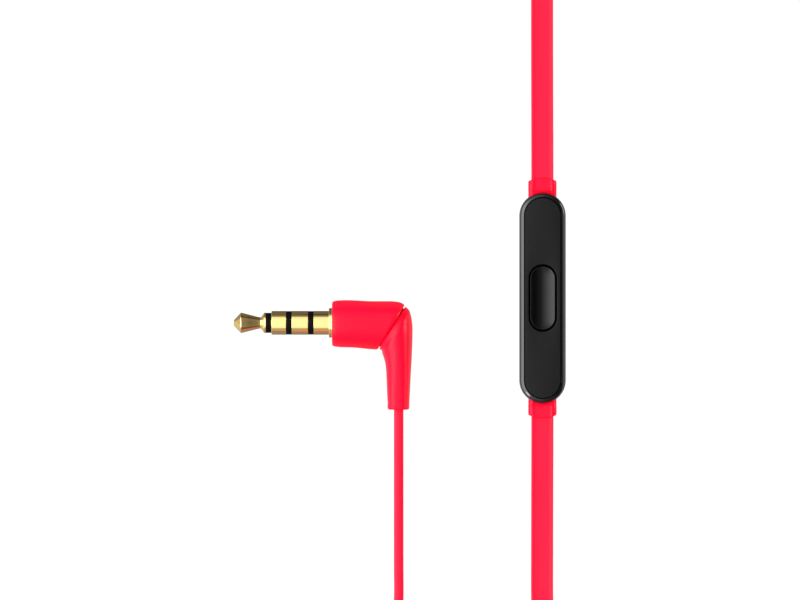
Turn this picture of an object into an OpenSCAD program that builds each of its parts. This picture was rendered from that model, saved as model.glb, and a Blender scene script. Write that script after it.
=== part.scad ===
// Wired in-ear earphones with an in-line remote, laid out on a table.
// Origin: underside centre of the remote. +Y runs along the remote, +Z is up.
// All sizes are millimetres.

/* [Remote] */
// Overall length of the in-line remote
remote_l = 31.0; // [30.4:0.1:31.6]
// Overall width of the remote
remote_w = 6.8; // [6.6:0.05:7.0]
// Thickness of the remote body
remote_h = 4.75; // [4.7:0.01:4.8]
// Length of the oval button
button_l = 9.3; // [9.0:0.1:9.5]
// Width of the oval button
button_w = 3.6; // [3.5:0.05:3.65]
// Distance the button travels when pressed
button_travel = 0.3; // [0.2:0.05:0.35]

/* [Plug] */
// Diameter of the round contact part
plug_d = 3.5; // [3.49:0.01:3.5]
// Diameter of the barrel of the right-angle cover
barrel_d = 7.0; // [6.8:0.05:7.0]

/* [Cable] */
// Width of the flat cable
cable_w = 3.2; // [3.0:0.1:3.3]
// Thickness of the flat cable
cable_t = 1.4; // [1.2:0.05:1.45]
// Outer radius of the main cable's coil
coil_a_r = 19.45; // [19.3:0.05:19.5]
// Outer radius of the ear cables' coil
coil_b_r = 21.7; // [21.5:0.05:21.75]

/* [Earbud] */
// Outer diameter of the earbud housing
bud_d = 12.0; // [11.9:0.05:12.0]
// Outer diameter of the silicone ear tip
tip_d = 12.0; // [11.0:0.1:12.0]
// Gap between the ear tip's tube and the nozzle
tip_gap = 0.05; // [0.03:0.01:0.1]

/* [Hidden] */
$fn = 64;
red = [1, 0.14, 0.25]; black = [0.12, 0.12, 0.12]; gold = [0.95, 0.85, 0.5]; steel = [0.7, 0.7, 0.72];

pr = remote_w / 2;                 // remote end radius
ps = remote_l / 2 - pr;            // half of the remote's straight run
cord_z = 2.5;                      // height of the cable's middle at the remote
collar_y = remote_l / 2 + 2.15;    // where the cable leaves a remote collar
plug_y = -3.65;                    // plug axis
plug_z = barrel_d / 2;
plug_x = -31.4;                    // front face of the plug's shoulder
lift = 0.5;                        // a tie's thickness under the coils
za = lift + cable_w / 2;           // middle of a coil's lower layer
zb = za + cable_w + 0.05;          // middle of a coil's upper layer
ca = [-19, -69.5];                 // centre of the main cable's coil
cb = [-19.8, -111];                // centre of the ear cables' coil
split_x = -40.5;                   // splitter mid plane
split_y = -91;                     // splitter middle

// Routes: x, y, z and the angle of the flat cable (0 lies flat, 90 stands on its edge)
lead_route = [[-21.15, -16.4, plug_z, 90], [-21.15, -20, plug_z, 90], [-21.15, -27, 3.1, 90], [-21.15, -34, 2.5, 90], [-21.15, -40, 2.2, 90], [-21.15, -45, za, 90], [-21.7, -48, za, 90], [-23.4, -50.5, za, 90], [-26.2, -52.4, za, 90]];
tail_route = [[-37.7, -70, zb, 90], [-37.8, -73, 5.3, 90], [-38.6, -77, 4.8, 90], [-39.8, -80.5, 4.3, 90], [split_x, -83, 4, 90], [split_x, -84.1, 4, 90]];
left_head_route = [[split_x, -97.9, za, 90], [split_x, -100, za, 90], [-40.7, -105, za, 90], [-40.8, -110.8, za, 90]];
right_head_route = [[split_x, -97.9, 5.8, 90], [split_x, -99.5, 5.8, 90], [-39.6, -104, 5.5, 90], [-38.8, -110.8, zb, 90]];
right_lower_route = [[0, -collar_y, cord_z, 0], [0, -20.4, cord_z, 0], [0, -26, 1.9, 0], [0, -32, 1.3, 0], [0, -38, 0.9, 0], [0, -44, 0.75, 0], [0.1, -47.5, 1.12, 12], [0.3, -51, 1.4, 25], [0.9, -57, 1.72, 50], [1.4, -63, 1.78, 75], [1.5, -69, 1.65, 90], [1.5, -77, 1.65, 90], [1.5, -85, 1.65, 90], [1.4, -92, 2.1, 90], [1.3, -98, 3.2, 90], [1.2, -104, 4.6, 90], [1.2, -110.8, zb, 90]];
right_upper_route = concat([[0, collar_y, cord_z, 0], [0, 20.4, cord_z, 0], [0, 26, 1.9, 0], [0, 32, 1.3, 0], [0, 38, 0.9, 0], [0, 44, 0.75, 0], [0, 48, 1.14, 12], [0, 52, 1.4, 25], [0, 58.5, 1.72, 50], [0, 65, 1.78, 75], [0, 71.5, 1.65, 90]],
  [for (a = [24:26:156]) [-15.5 + 15.5 * cos(a), 73 + 15.5 * sin(a), 1.65, 90]], [[-31, 72.6, 2.3, 90], [-31, 70.2, 2.9, 90], [-31, 68.75, 3.2, 90]]);
left_end_route = [for (a = [78:-25.5:-24]) [0, a]];

bud_right = [-31, 55.4, 6, -12];   // housing centre x, y, z and the roll about the nozzle axis
bud_left = [cb[0] - 6.65, cb[1] - 4.8, 6, 0];

// Sweeps a flat eight-sided cable section along a route
function unit(v) = v / norm(v);
function xyz(p) = [p[0], p[1], p[2]];
function tangent(r, i) = unit(xyz(r[min(i + 1, len(r) - 1)]) - xyz(r[max(i - 1, 0)]));
function section() = let (w = cable_w / 2, t = cable_t / 2) [[w, t * 0.5], [w - 0.35, t], [-w + 0.35, t], [-w, t * 0.5], [-w, -t * 0.5], [-w + 0.35, -t], [w - 0.35, -t], [w, -t * 0.5]];
function ring_at(r, i) = let (t = tangent(r, i), s = unit(cross(t, [0, 0, 1])), u = cross(s, t), a = r[i][3], w = s * cos(a) + u * sin(a), n = u * cos(a) - s * sin(a)) [for (c = section()) xyz(r[i]) + w * c[0] + n * c[1]];
function loft_faces(n, m) = concat([for (i = [0:n - 2], j = [0:m - 1]) [i * m + j, i * m + (j + 1) % m, (i + 1) * m + (j + 1) % m]],
  [for (i = [0:n - 2], j = [0:m - 1]) [i * m + j, (i + 1) * m + (j + 1) % m, (i + 1) * m + j]],
  [for (j = [1:m - 2]) [0, j + 1, j]], [for (j = [1:m - 2]) [(n - 1) * m, (n - 1) * m + j, (n - 1) * m + j + 1]]);
module loft(rings) { polyhedron(points = [for (r = rings) each r], faces = loft_faces(len(rings), len(rings[0])), convexity = 6); }
module flat_tube(r) { color(red) loft([for (i = [0:len(r) - 1]) ring_at(r, i)]); }

// A pill-shaped solid: a section in (r, z) revolved at both ends and run straight between them
module pill(s, prof) {
  for (m = [0, 1]) rotate([0, 0, 180 * m]) translate([0, s, 0]) rotate_extrude(angle = 180) polygon(prof);
  rotate([90, 0, 0]) linear_extrude(height = 2 * s, center = true) { polygon(prof); mirror([1, 0]) polygon(prof); }
}
module pill_slot(s, r, z0, z1) { translate([0, 0, z0]) linear_extrude(height = z1 - z0) { square([2 * r, 2 * s], center = true); for (k = [-1, 1]) translate([0, k * s]) circle(r); } }
module round_box(sx, sy, h, r) { linear_extrude(height = h) { square([sx - 2 * r, sy], center = true); square([sx, sy - 2 * r], center = true); for (i = [-1, 1], j = [-1, 1]) translate([i * (sx / 2 - r), j * (sy / 2 - r)]) circle(r); } }
// Lathe profile along +X, given as (x, r) pairs
module along_x(p) { rotate([0, 90, 0]) rotate_extrude() polygon([for (q = p) [q[1], q[0]]]); }

// ---- Plug: u runs back from the tip ----
module on_plug() { translate([plug_x - 14, plug_y, plug_z]) children(); }
pd = plug_d / 2;
module plug_tip() { color(gold) on_plug() along_x([[0, 0], [0, 0.33], [0.1, 0.46], [0.95, 1.42], [1.07, 1.48], [1.25, 1.46], [2.4, 1.18], [3.4, 0.92], [3.9, 0.83], [4.05, 0.85], [4.48, 1.46], [4.56, 1.5], [4.72, 1.5], [4.72, 0.4], [16.5, 0.4], [16.5, 0]]); }
module plug_insulator_front() { color(black) on_plug() along_x([[4.72, 0.4], [4.72, 1.48], [5.54, 1.48], [5.54, 0.9], [7.7, 0.9], [7.7, 0.4]]); }
module plug_ring_front() { color(gold) on_plug() along_x([[5.54, 0.9], [5.54, 1.64], [5.68, pd], [7.7, pd], [7.7, 0.9]]); }
module plug_insulator_middle() { color(black) on_plug() along_x([[7.7, 0.4], [7.7, pd], [8.53, pd], [8.53, 0.9], [10.93, 0.9], [10.93, 0.4]]); }
module plug_ring_rear() { color(gold) on_plug() along_x([[8.53, 0.9], [8.53, pd], [10.93, pd], [10.93, 0.9]]); }
module plug_insulator_rear() { color(black) on_plug() along_x([[10.93, 0.4], [10.93, pd], [11.76, pd], [11.76, 0.9], [16.5, 0.9], [16.5, 0.4]]); }
module plug_sleeve() { color(gold) on_plug() along_x([[11.76, 0.9], [11.76, pd], [14, pd], [14, 2.17], [14.45, 2.17], [14.45, 2.5], [16.5, 2.5], [16.5, 0.9]]); }
module plug_inner_block() { color([0.85, 0.85, 0.8]) on_plug() along_x([[16.5, 0], [16.5, 2.5], [20.5, 2.5], [20.5, 0]]); }
seam_a = [-24.19, -7.56]; seam_b = [-20.29, -0.94];    // ends of the diagonal seam
seam_u = unit([seam_b[0] - seam_a[0], seam_b[1] - seam_a[1], 0]);
seam_ang = atan2(seam_u[1], seam_u[0]);
module plug_barrel_cover() { color(red) difference() {
  translate([0, -0.13, 0]) on_plug() along_x([[14.45, 0], [14.45, 3.0], [14.5, 3.14], [14.7, 3.26], [15.1, 3.37], [15.6, 3.43], [16.5, barrel_d / 2 - 0.02], [17.5, barrel_d / 2], [22.5, barrel_d / 2], [23.8, 3.35], [24.6, 3.15], [25.2, 2.85], [26, 2.4], [26, 0]]);
  on_plug() along_x([[14, 0], [14, 2.5], [20.5, 2.5], [20.5, 0]]);
  translate([seam_a[0], seam_a[1], 0]) rotate([0, 0, seam_ang]) translate([-10, -20, -5]) cube([30, 20.05, 20]);
} }
elbow = [ // outer x, y, inner x, y, half depth, squareness; the first two rows are the neck in the seam
 [-20.40, -1.19, -24.03, -7.34, 3.15, 2], [-19.98, -1.84, -23.92, -7.28, 3.2, 2], [-19.88, -1.70, -24.02, -7.42, 3.38, 2], [-19.62, -1.73, -23.80, -7.60, 3.42, 2.02], [-19.50, -1.98, -23.58, -7.79, 3.43, 2.05], [-19.36, -2.55, -23.58, -7.98, 3.42, 2.1],
 [-19.21, -3.35, -23.54, -8.22, 3.40, 2.15], [-19.12, -4.35, -23.41, -8.55, 3.36, 2.22], [-19.12, -5.5, -23.30, -8.93, 3.3, 2.3], [-19.17, -7.1, -23.15, -9.5, 3.22, 2.4], [-19.26, -9.2, -23.03, -10.4, 3.08, 2.55],
 [-19.39, -11.5, -22.94, -11.95, 2.9, 2.75], [-19.51, -13.9, -22.86, -14.05, 2.7, 2.95], [-19.60, -16.1, -22.82, -16.1, 2.53, 3.2], [-19.9, -16.4, -22.5, -16.4, 2.25, 3.1]];
function spow(v, e) = sign(v) * pow(abs(v), e);
module plug_elbow_cover() { color(red) loft([for (e = elbow) let (c = [(e[0] + e[2]) / 2, (e[1] + e[3]) / 2], h = [(e[0] - e[2]) / 2, (e[1] - e[3]) / 2]) [for (k = [0:23]) let (a = 15 * k) [c[0] + h[0] * spow(cos(a), 2 / e[5]), c[1] + h[1] * spow(cos(a), 2 / e[5]), plug_z + e[4] * spow(sin(a), 2 / e[5])]]]); }

// ---- Remote ----
module collar_hole() { for (m = [0, 1]) rotate([0, 0, 180 * m]) translate([0, ps + pr - 1, cord_z]) rotate([90, 0, 0]) translate([0, 0, -3]) round_box(4.17, 2.42, 6, 0.6); }
module remote_rear_shell() { color(black) difference() {
  pill(ps, [[0, 0], [1.8, 0], [2.45, 0.15], [2.95, 0.5], [3.25, 1.0], [pr, 1.7], [pr, cord_z], [2.75, cord_z], [2.75, 1.5], [2.3, 0.75], [0, 0.65]]);
  collar_hole();
  translate([0, -9.4, -1]) cylinder(r = 0.4, h = 3);
} }
module remote_front_shell() { color(black) difference() {
  pill(ps, [[2.75, cord_z], [pr, cord_z], [pr, 3.9], [3.36, 4.07], [3.3, 4.26], [3.2, 4.46], [3.1, 4.57], [2.84, 4.7], [2.8, remote_h], [2.75, remote_h], [2.75, 4.0], [2.42, 4.0], [2.42, 3.7], [2.75, 3.4]]);
  collar_hole();
} }
bs = (button_l - button_w) / 2; br = button_w / 2;
module remote_face_plate() { color([0.16, 0.16, 0.16]) difference() { pill_slot(ps, 2.6, 4.0, remote_h - 0.05); pill_slot(bs, br + 0.29, 3, 6); } }
module remote_button() { color([0.05, 0.05, 0.05]) {
  difference() { union() { pill_slot(bs, br, 3.97, remote_h - 0.08); pill_slot(bs, br + 0.47, 3.57, 3.97); }
    translate([0, 0, remote_h - 0.08 + 3.15]) rotate([90, 0, 0]) cylinder(r = 3.6, h = button_l - 1.6, center = true, $fn = 96); }
  translate([0, 0, 2.92]) cylinder(r = 0.6, h = 0.7); } }
module switch_dome() { color(steel) translate([0, 0, 2.45]) rotate_extrude() polygon([[0, 0.28], [0, 0.42], [0.5, 0.4], [0.95, 0.26], [1.2, 0.05], [1.2, 0], [1.05, 0], [0.85, 0.14], [0.45, 0.27]]); }
module switch_body() { color(steel) translate([0, 0, 1.95]) round_box(3.4, 3.4, 0.5, 0.3); }
module remote_circuit_board() { color([0.05, 0.35, 0.15]) translate([0, 0, 1.35]) round_box(4.4, 22.5, 0.6, 0.8); }
module microphone() { color(steel) translate([0, -9.4, 0.95]) linear_extrude(height = 0.4) difference() { square([2.2, 3], center = true); circle(r = 0.25); } }
module microphone_gasket() { color([0.3, 0.3, 0.3]) translate([0, -9.4, 0.68]) difference() { cylinder(r = 0.95, h = 0.27); translate([0, 0, -1]) cylinder(r = 0.45, h = 3); } }
module remote_collar() { color(red) { translate([0, 0, cord_z]) rotate([-90, 0, 0]) {
  translate([0, 0, 13.3]) round_box(4.15, 2.4, collar_y - 13.3 - 0.25, 0.6);
  translate([0, 0, collar_y - 0.25]) round_box(3.75, 2.0, 0.25, 0.5);
  translate([0, 0, 12.7]) round_box(4.3, 2.8, 0.6, 0.6); } } }
module remote_collar_upper() { remote_collar(); }
module remote_collar_lower() { rotate([0, 0, 180]) remote_collar(); }

// ---- Splitter: stands on its long edge ----
module split_section(w, h) { translate([0, 4, 0]) rotate([-90, 0, 0]) children(); }
module splitter_half(k) { color(black) translate([split_x, split_y, 4]) difference() {
  intersection() { rotate([90, 0, 0]) translate([0, 0, -6.2]) round_box(4.2, 8, 12.4, 1.4); translate([k * 5, 0, 0]) cube([10, 20, 20], center = true); }
  rotate([90, 0, 0]) translate([0, 0, -5.4]) round_box(2.8, 6.6, 10.8, 0.8);
  translate([0, 6, 0]) rotate([90, 0, 0]) translate([0, 0, -2]) round_box(2.42, 4.22, 4, 0.6);
  translate([0, -6, 0]) rotate([90, 0, 0]) translate([0, 0, -2]) round_box(2.42, 7.02, 4, 0.6);
} }
module splitter_shell_left() { splitter_half(-1); }
module splitter_shell_right() { splitter_half(1); }
module splitter_joint_board() { color([0.05, 0.35, 0.15]) translate([split_x, split_y, 4]) cube([0.6, 7.6, 5.4], center = true); }
module splitter_collar_main() { color(red) translate([split_x, split_y + 4.6, 4]) rotate([-90, 0, 0]) { round_box(2.4, 4.2, 2.3, 0.6); round_box(2.7, 5, 0.75, 0.6); } }
module splitter_collar_ear() { color(red) translate([split_x, split_y - 4.6, 4]) rotate([90, 0, 0]) { round_box(2.4, 7.0, 2.3, 0.6); round_box(2.7, 6.5, 0.75, 0.8); } }

// ---- Earbud: local +X is the nozzle direction, +Y the cable direction ----
module at_bud(b) { translate([b[0], b[1], b[2]]) rotate([b[3], 0, 0]) children(); }
br0 = bud_d / 2;
module rear_cap(b) { color(black) at_bud(b) along_x([[-5.4, 0], [-5.4, 3.6], [-5.25, 4.7], [-4.95, 5.4], [-4.5, 5.85], [-4.2, br0 - 0.05], [-4.2, 5.25], [-3.4, 5.25], [-3.4, 4.6], [-4.3, 4.5], [-4.5, 0]]); }
module rear_housing(b) { color(black) at_bud(b) difference() { along_x([[-4.2, 5.3], [-4.2, br0], [2.2, br0], [2.2, 5.3]]); rotate([-90, 0, 0]) cylinder(r = 1.7, h = 10); } }
module front_housing(b) { color(red) at_bud(b) along_x([[2.2, 5.05], [2.2, br0], [2.9, 5.97], [3.7, 5.7], [4.4, 5.2], [5.0, 4.4], [5.4, 3.5], [5.7, 2.8], [6.0, 2.4], [9.9, 2.4], [10.2, 2.5], [10.7, 2.5], [11.2, 2.3], [11.2, 1.75], [10.7, 1.75], [10.7, 1.5], [5.6, 1.5], [4.9, 2.6], [4.75, 4.2], [4.6, 5.05]]); }
module nozzle_mesh(b) { color(steel) at_bud(b) translate([10.75, 0, 0]) rotate([0, 90, 0]) cylinder(r = 1.7, h = 0.2); }
tb = 2.5 + tip_gap;
module ear_tip(b) { color([0.1, 0.1, 0.1]) at_bud(b) along_x([[5.95, tb], [5.95, 3.3], [9.6, 3.35], [11.6, 3.6], [11.9, 4.1], [10.2, 4.8], [8.2, 5.2], [6.0, 5.45], [5.6, 5.5], [5.6, tip_d / 2 - 0.15], [6.1, tip_d / 2], [8.2, tip_d / 2 - 0.2], [10.4, tip_d / 2 - 0.75], [12.2, 4.6], [13.4, 3.9], [14.1, 3.1], [14.3, 2.3], [14.1, 1.9], [12.2, 1.8], [11.4, tb]]); }
module driver_frame(b) { color(steel) at_bud(b) along_x([[1.4, 3.05], [1.4, 3.9], [2.3, 4.9], [4.3, 4.9], [4.3, 4.3], [3.3, 4.2], [2.3, 3.05]]); }
module driver_yoke(b) { color(steel) at_bud(b) along_x([[0.8, 0], [0.8, 3.05], [3.1, 3.05], [3.1, 2.5], [1.3, 2.5], [1.3, 0]]); }
module driver_magnet(b) { color([0.45, 0.45, 0.48]) at_bud(b) along_x([[1.3, 0], [1.3, 1.75], [3.0, 1.75], [3.0, 0]]); }
module diaphragm(b) { color([0.8, 0.75, 0.6]) at_bud(b) along_x([[4.1, 0], [4.25, 0], [4.1, 1.2], [3.75, 2.25], [4.05, 3.2], [3.75, 4.1], [3.6, 4.1], [3.85, 3.2], [3.6, 2.25], [3.95, 1.2]]); }
module voice_coil(b) { color([0.72, 0.45, 0.2]) at_bud(b) along_x([[2.1, 1.95], [2.1, 2.25], [3.6, 2.25], [3.6, 1.95]]); }
relief = [[5.2, 1.65, 1.65, 2], [6.3, 1.65, 1.65, 2], [6.3, 2.1, 2.1, 2], [7.2, 2.1, 2.15, 2.1], [9, 1.7, 2.1, 2.3], [11, 1.4, 2.0, 2.6], [12.6, 1.2, 1.92, 2.8], [13.4, 1.1, 1.88, 3], [13.5, 1.0, 1.78, 3]];
module strain_relief(b) { color(red) at_bud(b) loft([for (e = relief) [for (k = [0:19]) let (a = 18 * k) [e[1] * spow(cos(a), 2 / e[3]), e[0], -e[2] * spow(sin(a), 2 / e[3])]]]); }
module right_rear_cap() { rear_cap(bud_right); }
module right_rear_housing() { rear_housing(bud_right); }
module right_front_housing() { front_housing(bud_right); }
module right_nozzle_mesh() { nozzle_mesh(bud_right); }
module right_ear_tip() { ear_tip(bud_right); }
module right_driver_frame() { driver_frame(bud_right); }
module right_driver_yoke() { driver_yoke(bud_right); }
module right_driver_magnet() { driver_magnet(bud_right); }
module right_diaphragm() { diaphragm(bud_right); }
module right_voice_coil() { voice_coil(bud_right); }
module right_strain_relief() { strain_relief(bud_right); }
module left_rear_cap() { rear_cap(bud_left); }
module left_rear_housing() { rear_housing(bud_left); }
module left_front_housing() { front_housing(bud_left); }
module left_nozzle_mesh() { nozzle_mesh(bud_left); }
module left_ear_tip() { ear_tip(bud_left); }
module left_driver_frame() { driver_frame(bud_left); }
module left_driver_yoke() { driver_yoke(bud_left); }
module left_driver_magnet() { driver_magnet(bud_left); }
module left_diaphragm() { diaphragm(bud_left); }
module left_voice_coil() { voice_coil(bud_left); }
module left_strain_relief() { strain_relief(bud_left); }

// ---- Cable ----
z1 = lift + cable_w; z2 = lift + 2 * cable_w + 0.1;
module band(c, p) { color(red) translate([c[0], c[1], 0]) rotate_extrude($fn = 96) polygon(p); }
module main_cable_lead() { flat_tube(lead_route); }
module main_cable_coil() { band(ca, [[12.85, lift], [coil_a_r, lift], [coil_a_r, z2], [12.85, z2]]); }
module main_cable_tail() { flat_tube(tail_route); }
module right_cable_head() { flat_tube(right_head_route); }
module right_cable_coil() { band(cb, [[18.2, z1 + 0.05], [coil_b_r, z1 + 0.05], [coil_b_r, z2], [18.2, z2]]); }
module right_cable_lower() { flat_tube(right_lower_route); }
module right_cable_upper() { flat_tube(right_upper_route); }
module left_cable_head() { flat_tube(left_head_route); }
module left_cable_coil() { band(cb, [[16.7, lift], [coil_b_r, lift], [coil_b_r, z1], [18.15, z1], [18.15, z2], [16.7, z2]]); }
module left_cable_end() { flat_tube(concat([[cb[0] + 6.9, cb[1] + 16.0, zb, 90]], [for (a = [78:34:180]) [cb[0] + 1.85 + 8.5 * cos(a), cb[1] + 8.7 + 8.5 * sin(a), zb + (a - 78) / 200, 90]], [[bud_left[0], bud_left[1] + 13.5, 6, 90]])); }
module tie(c, ang, r0, r1) { translate([c[0], c[1], 0]) rotate([0, 0, ang]) rotate([90, 0, 0]) linear_extrude(height = 2.6, center = true) difference() { translate([r0 - 0.5, 0]) square([r1 - r0 + 1, z2 + 0.5]); translate([r0 - 0.02, lift - 0.02]) square([r1 - r0 + 0.04, z2 - lift + 0.04]); } }
module cable_ties() { color(black) { tie(ca, 318, 12.85, coil_a_r); tie(cb, 300, 16.7, coil_b_r); } }

plug_tip();
plug_insulator_front();
plug_ring_front();
plug_insulator_middle();
plug_ring_rear();
plug_insulator_rear();
plug_sleeve();
plug_inner_block();
plug_barrel_cover();
plug_elbow_cover();
remote_rear_shell();
remote_front_shell();
remote_face_plate();
remote_button();
switch_dome();
switch_body();
remote_circuit_board();
microphone();
microphone_gasket();
remote_collar_upper();
remote_collar_lower();
splitter_shell_left();
splitter_shell_right();
splitter_joint_board();
splitter_collar_main();
splitter_collar_ear();
right_rear_cap();
right_rear_housing();
right_front_housing();
right_nozzle_mesh();
right_ear_tip();
right_driver_frame();
right_driver_yoke();
right_driver_magnet();
right_diaphragm();
right_voice_coil();
right_strain_relief();
left_rear_cap();
left_rear_housing();
left_front_housing();
left_nozzle_mesh();
left_ear_tip();
left_driver_frame();
left_driver_yoke();
left_driver_magnet();
left_diaphragm();
left_voice_coil();
left_strain_relief();
main_cable_lead();
main_cable_coil();
main_cable_tail();
right_cable_head();
right_cable_coil();
right_cable_lower();
right_cable_upper();
left_cable_head();
left_cable_coil();
left_cable_end();
cable_ties();
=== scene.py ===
import bpy, bmesh, math
import numpy as np
from mathutils import Vector, Matrix


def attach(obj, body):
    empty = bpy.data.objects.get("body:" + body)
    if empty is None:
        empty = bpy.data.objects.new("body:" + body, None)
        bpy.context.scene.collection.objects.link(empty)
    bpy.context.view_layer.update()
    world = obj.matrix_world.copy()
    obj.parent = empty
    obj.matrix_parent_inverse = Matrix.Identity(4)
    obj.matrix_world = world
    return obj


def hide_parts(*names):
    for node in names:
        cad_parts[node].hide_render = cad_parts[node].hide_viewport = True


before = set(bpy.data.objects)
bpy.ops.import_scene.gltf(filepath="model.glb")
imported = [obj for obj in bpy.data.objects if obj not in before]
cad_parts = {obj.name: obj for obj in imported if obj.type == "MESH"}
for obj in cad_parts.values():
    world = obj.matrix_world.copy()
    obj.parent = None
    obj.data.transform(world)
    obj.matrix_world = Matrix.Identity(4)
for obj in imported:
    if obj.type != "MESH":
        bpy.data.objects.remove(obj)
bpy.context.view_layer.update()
MM = 0.001
scene = bpy.context.scene
scene.view_settings.view_transform = "Standard"
scene.view_settings.look = "None"

# ---------------------------------------------------------------- camera
# The picture spans 117.65 x 88.24 mm at the object's height, seen from straight above.
cam_data = bpy.data.cameras.new("camera")
cam_data.type = "PERSP"
cam_data.lens = 260.0
cam_data.sensor_width = 36.0
cam_data.clip_start = 0.01
cam_data.clip_end = 10.0
cam = bpy.data.objects.new("camera", cam_data)
scene.collection.objects.link(cam)
cam.location = (-20.96 * MM, -0.29 * MM, 3.4 * MM + 0.11765 * 260.0 / 36.0)
cam.rotation_euler = (0.0, 0.0, 0.0)
scene.camera = cam

# ---------------------------------------------------------------- mesh helpers
def mesh_object(name, verts, faces, smooth=True, body="body"):
    me = bpy.data.meshes.new(name)
    me.from_pydata([tuple(c * MM for c in v) for v in verts], [], faces)
    me.validate()
    bm = bmesh.new()
    bm.from_mesh(me)
    bmesh.ops.remove_doubles(bm, verts=bm.verts, dist=1e-7)
    bmesh.ops.recalc_face_normals(bm, faces=bm.faces)
    bm.to_mesh(me)
    bm.free()
    if smooth:
        me.polygons.foreach_set("use_smooth", [True] * len(me.polygons))
    ob = bpy.data.objects.new(name, me)
    scene.collection.objects.link(ob)
    if body:
        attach(ob, body)
    return ob


def sharpen(ob, degrees=35.0):
    """Marks the edges sharper than this as sharp, so that the rest shades smooth."""
    bm = bmesh.new()
    bm.from_mesh(ob.data)
    for e in bm.edges:
        e.smooth = not (len(e.link_faces) == 2 and e.calc_face_angle(0.0) > math.radians(degrees))
    bm.to_mesh(ob.data)
    bm.free()
    return ob


def rounded(points, radius, n=4, closed=True):
    """Rounds the corners of a 2-D outline. radius is one number, or one for each corner."""
    out, m = [], len(points)
    for i, p in enumerate(points):
        r = radius[i] if isinstance(radius, (list, tuple)) else radius
        if not closed and i in (0, m - 1) or r <= 0:
            out.append(tuple(p))
            continue
        p, a, b = np.array(p, float), np.array(points[i - 1], float), np.array(points[(i + 1) % m], float)
        la, lb = np.linalg.norm(a - p), np.linalg.norm(b - p)
        u, v = (a - p) / la, (b - p) / lb
        cosang = float(np.clip(u @ v, -1, 1))
        half = math.acos(cosang) / 2
        if half > math.radians(88):
            out.append(tuple(p))
            continue
        t = min(r / math.tan(half), 0.48 * la, 0.48 * lb)
        s, e = p + u * t, p + v * t
        for k in range(n + 1):
            w = k / n
            out.append(tuple((1 - w) ** 2 * s + 2 * w * (1 - w) * p + w * w * e))
    return out


def loft_mesh(rings, cap=True, closed=False):
    n, m = len(rings), len(rings[0])
    verts = [tuple(p) for r in rings for p in r]
    faces = []
    for i in range(n if closed else n - 1):
        a, b = i * m, ((i + 1) % n) * m
        for j in range(m):
            k = (j + 1) % m
            faces.append((a + j, a + k, b + k, b + j))
    if cap and not closed:
        faces.append(tuple(range(m))[::-1])
        faces.append(tuple((n - 1) * m + j for j in range(m)))
    return verts, faces


def lathe(name, profile, steps=96, origin=(0, 0, 0), frame_axes=None, body="body", sharp=40, closed=True):
    """Revolves an (x, r) outline about +X. Points on the axis are merged."""
    ring = []
    for k in range(steps):
        a = 2 * math.pi * k / steps
        ring.append([(x, r * math.cos(a), r * math.sin(a)) for x, r in profile])
    verts, faces = [], []
    n, m = steps, len(profile)
    for r in ring:
        verts += r
    for i in range(n):
        a, b = i * m, ((i + 1) % n) * m
        for j in range(m if closed else m - 1):
            k = (j + 1) % m
            if profile[j][1] < 1e-9 and profile[k][1] < 1e-9:
                continue
            faces.append((a + j, a + k, b + k, b + j))
    if frame_axes is not None:
        verts = [tuple(frame_axes @ np.array(v)) for v in verts]
    verts = [tuple(np.array(v) + np.array(origin)) for v in verts]
    ob = mesh_object(name, verts, faces, body=body)
    return sharpen(ob, sharp)


def pill_outline(s, r, n=32):
    pts = []
    for k in range(n + 1):
        a = math.pi * k / n
        pts.append((r * math.cos(a), s + r * math.sin(a)))
    m = max(2, int(round(2 * s / 1.0)))
    for k in range(1, m):
        pts.append((-r, s - 2 * s * k / m))
    for k in range(n + 1):
        a = math.pi + math.pi * k / n
        pts.append((r * math.cos(a), -s + r * math.sin(a)))
    for k in range(1, m):
        pts.append((r, -s + 2 * s * k / m))
    return pts


def pill_solid(name, s, profile, n=32, body="body", sharp=40, warp=None):
    """A closed (r, z) outline swept round a pill-shaped path. A point at r=0 collapses onto the middle line."""
    cols = pill_outline(s, 1.0, n)
    cores = [(0.0, s if y > s else (-s if y < -s else y)) for x, y in cols]
    dirs = [(x, y - c[1]) for (x, y), c in zip(cols, cores)]
    rings = []
    for c, d in zip(cores, dirs):
        rings.append([(c[0] + d[0] * r, c[1] + d[1] * r, z) for r, z in profile])
    v, f = loft_mesh(rings, closed=True)
    if warp:
        v = [warp(p) for p in v]
    ob = mesh_object(name, v, f, body=body)
    bm = bmesh.new()
    bm.from_mesh(ob.data)
    bmesh.ops.dissolve_degenerate(bm, dist=1e-8, edges=bm.edges)
    bm.to_mesh(ob.data)
    bm.free()
    return sharpen(ob, sharp)

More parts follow.
